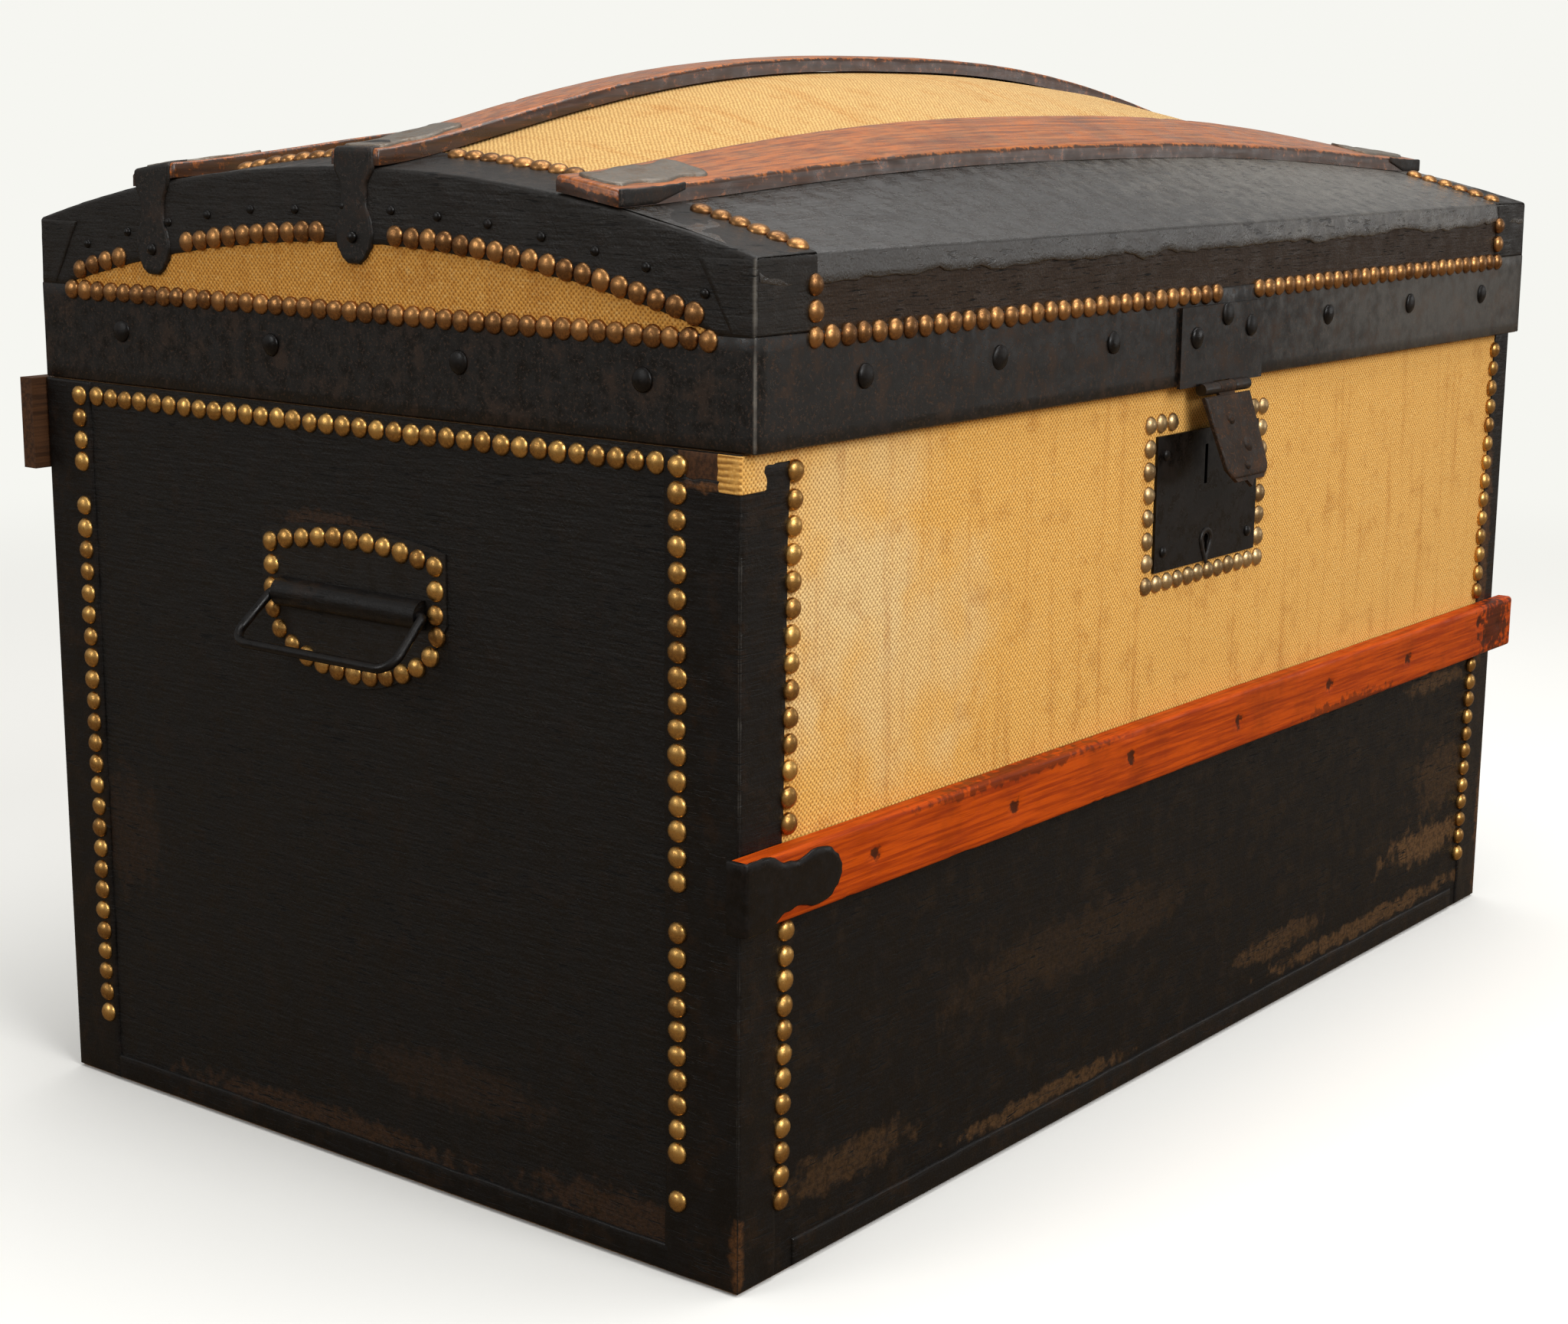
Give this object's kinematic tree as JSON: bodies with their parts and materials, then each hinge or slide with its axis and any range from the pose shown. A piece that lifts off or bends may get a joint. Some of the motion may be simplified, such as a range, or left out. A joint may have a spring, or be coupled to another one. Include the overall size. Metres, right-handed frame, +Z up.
{
  "type": "dome-topped trunk",
  "caption": "Dome-topped travelling trunk of canvas and black leather on wood, with bowed slats, brass nails, a hasp lock and swinging end handles.",
  "frame": {"origin": "middle of the bottom board's underside, on the floor", "axes": "+X along the length to the right as seen from the front, +Y from front to back, +Z up"},
  "size_m": [0.902, 0.5414, 0.5773],
  "materials": {
    "pine": "bare, aged",
    "canvas": "coarse woven canvas, stained",
    "black_leather": "painted, cracked, semi-gloss",
    "varnished_wood": "orange-red varnish, worn",
    "black_iron": "black enamel, semi-gloss",
    "rusty_iron": "pitted, brown",
    "brass": "aged, satin"
  },
  "bodies": {
    "chest": {"back_batten": "varnished_wood", "back_board": "pine", "back_cover": "black_leather", "batten_end_cap": "black_iron", "bottom_binding": "black_leather", "bottom_board": "pine", "chest_nails": "brass", "corner_leathers": "black_leather", "front_batten": "varnished_wood", "front_board": "pine", "front_canvas": "canvas", "front_lower_cover": "black_leather", "handle_ring_nails": "brass", "hinge_chest_leaves": "black_iron", "hinge_pins": "black_iron", "left_end_board": "pine", "left_end_cover": "black_leather", "left_handle_patch": "black_leather", "left_handle_socket": "black_iron", "lock_case": "black_iron", "lock_plate": "black_iron", "lock_ring_nails": "brass", "lock_rivets": "black_iron", "right_end_board": "pine", "right_end_cover": "black_leather", "right_handle_patch": "black_leather", "right_handle_socket": "black_iron"},
    "hasp": {"hasp": "rusty_iron"},
    "left_bail": {"left_bail": "black_iron"},
    "right_bail": {"right_bail": "black_iron"},
    "lid": {"lid_left_board": "pine", "lid_right_board": "pine", "lid_front_board": "pine", "lid_back_board": "pine", "lid_dome_board": "pine", "lid_canvas_left": "canvas", "lid_canvas_right": "canvas", "dome_canvas": "canvas", "lid_front_strip": "black_leather", "lid_back_strip": "black_leather", "dome_front_leather": "black_leather", "dome_back_leather": "black_leather", "lid_rim_left": "black_leather", "lid_rim_right": "black_leather", "lid_corner_leathers": "black_leather", "dome_edge_leathers": "black_leather", "front_slat": "varnished_wood", "middle_slat": "varnished_wood", "back_slat": "varnished_wood", "lid_band_front": "black_iron", "lid_band_back": "black_iron", "lid_band_left": "black_iron", "lid_band_right": "black_iron", "slat_end_straps": "black_iron", "front_slat_clips": "black_iron", "hasp_plate": "black_iron", "hasp_pin": "black_iron", "lid_rivets": "black_iron", "hinge_lid_leaves": "black_iron", "lid_nails": "brass"}
  },
  "joints": [
    {"name": "lid_hinge", "type": "hinge", "parent": "chest", "child": "lid", "pos_m": [0, 0.2605, 0.4], "axis": [-1, 0, 0], "range_deg": [0, 100]},
    {"name": "hasp_hinge", "type": "hinge", "parent": "lid", "child": "hasp", "pos_m": [0, -0.2561, 0.397], "axis": [1, 0, 0], "range_deg": [-115, 24]},
    {"name": "left_bail_hinge", "type": "hinge", "parent": "chest", "child": "left_bail", "pos_m": [-0.4228, 0.005, 0.303], "axis": [0, 1, 0], "range_deg": [-43, 115]},
    {"name": "right_bail_hinge", "type": "hinge", "parent": "chest", "child": "right_bail", "pos_m": [0.4228, 0.005, 0.303], "axis": [0, -1, 0], "range_deg": [-43, 115]}
  ]
}
